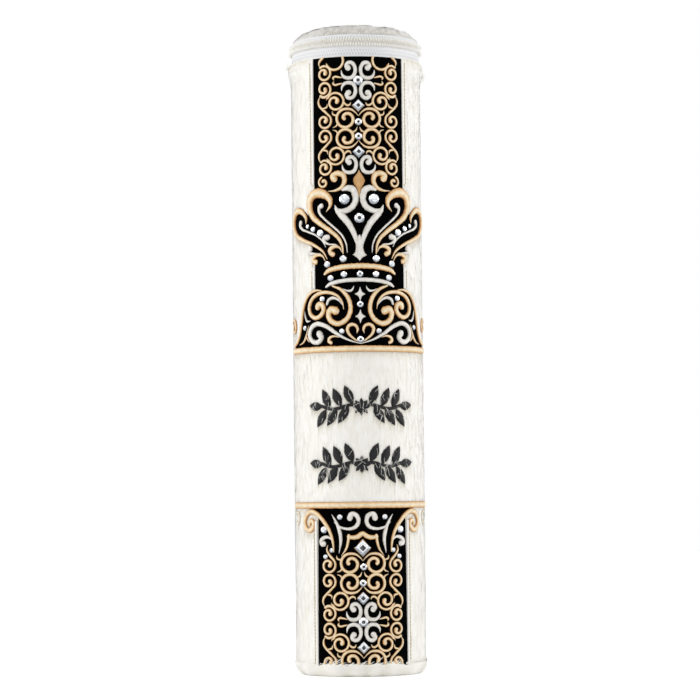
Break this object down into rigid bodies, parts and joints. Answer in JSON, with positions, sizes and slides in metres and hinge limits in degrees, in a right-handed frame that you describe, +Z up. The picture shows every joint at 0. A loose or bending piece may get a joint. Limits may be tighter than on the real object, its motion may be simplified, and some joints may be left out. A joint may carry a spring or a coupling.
{
  "type": "scroll case",
  "caption": "Tall round scroll case covered in white hair-on hide, with an embroidered satin front and a padded lid that zips on round the rim.",
  "frame": {"origin": "middle of the flat base, on the surface that the case stands on", "axes": "+Z up the case; the embroidered front faces -Y"},
  "size_m": [0.0718, 0.0727, 0.3451],
  "materials": {
    "hair_hide": "short cream hair on white leather",
    "board": "plain grey-brown cardboard",
    "lining_satin": "smooth cream satin",
    "black_satin": "matt black satin",
    "ribbon": "white woven ribbon",
    "gold_thread": "raised gold satin stitch",
    "silver_thread": "raised silver-white satin stitch",
    "zip_tape": "white herringbone zip tape",
    "zip_coil": "cream nylon coil",
    "foam": "pale foam",
    "stone": "clear foil-backed cut glass",
    "plated_metal": "bright nickel plate"
  },
  "bodies": {
    "case": {"base_hide": "hair_hide", "base_board": "board", "floor_pad": "lining_satin", "base_welt": "hair_hide", "core_tube": "board", "tube_lining": "lining_satin", "body_hide": "hair_hide", "upper_panel": "black_satin", "lower_panel": "black_satin", "edging_upper_right": "ribbon", "edging_upper_left": "ribbon", "edging_waist_right": "ribbon", "edging_waist_left": "ribbon", "edging_lower_right": "ribbon", "edging_lower_left": "ribbon", "upper_gold_bar": "gold_thread", "lower_gold_bar": "gold_thread", "crown_hook_right": "gold_thread", "crown_hook_left": "gold_thread", "crown_wing_right": "gold_thread", "crown_wing_left": "gold_thread", "crown_lyre_right": "silver_thread", "crown_lyre_left": "silver_thread", "crown_collar_right": "silver_thread", "crown_collar_left": "silver_thread", "crown_band_gold": "gold_thread", "crown_band_silver": "silver_thread", "bell_edge_right": "gold_thread", "bell_edge_left": "gold_thread", "lower_hook_right": "gold_thread", "lower_hook_left": "gold_thread", "crown_stone_right": "stone", "crown_stone_left": "stone", "crown_stone_centre": "stone", "rosette_stone_upper": "stone", "rosette_stone_lower": "stone", "diamond_stone_upper": "stone", "diamond_stone_middle": "stone", "diamond_stone_large": "stone", "diamond_stone_lower": "stone", "diamond_stone_foot": "stone", "lower_zip_tape": "zip_tape", "lower_zip_coil": "zip_coil", "zip_stop_right": "plated_metal", "zip_stop_left": "plated_metal", "hinge_strip_lower": "zip_tape"},
    "lid": {"upper_zip_tape": "zip_tape", "upper_zip_coil": "zip_coil", "hinge_strip_upper": "zip_tape", "lid_lining": "lining_satin", "lid_board": "board", "lid_pad": "foam", "lid_hide": "hair_hide"},
    "slider": {"slider_body": "plated_metal"},
    "pull": {"pull_tab": "plated_metal"}
  },
  "joints": [
    {"name": "lid_hinge", "type": "hinge", "parent": "case", "child": "lid", "pos_m": [0, 0.03375, 0.331], "axis": [-1, 0, 0], "range_deg": [0, 120]},
    {"name": "slider_travel", "type": "hinge", "parent": "case", "child": "slider", "pos_m": [0, 0, 0.331], "axis": [0, 0, -1], "range_deg": [0, 294]},
    {"name": "pull_swing", "type": "hinge", "parent": "slider", "child": "pull", "pos_m": [0.02086, 0.03212, 0.331], "axis": [0.8387, -0.5446, 0], "range_deg": [0, 150]}
  ]
}
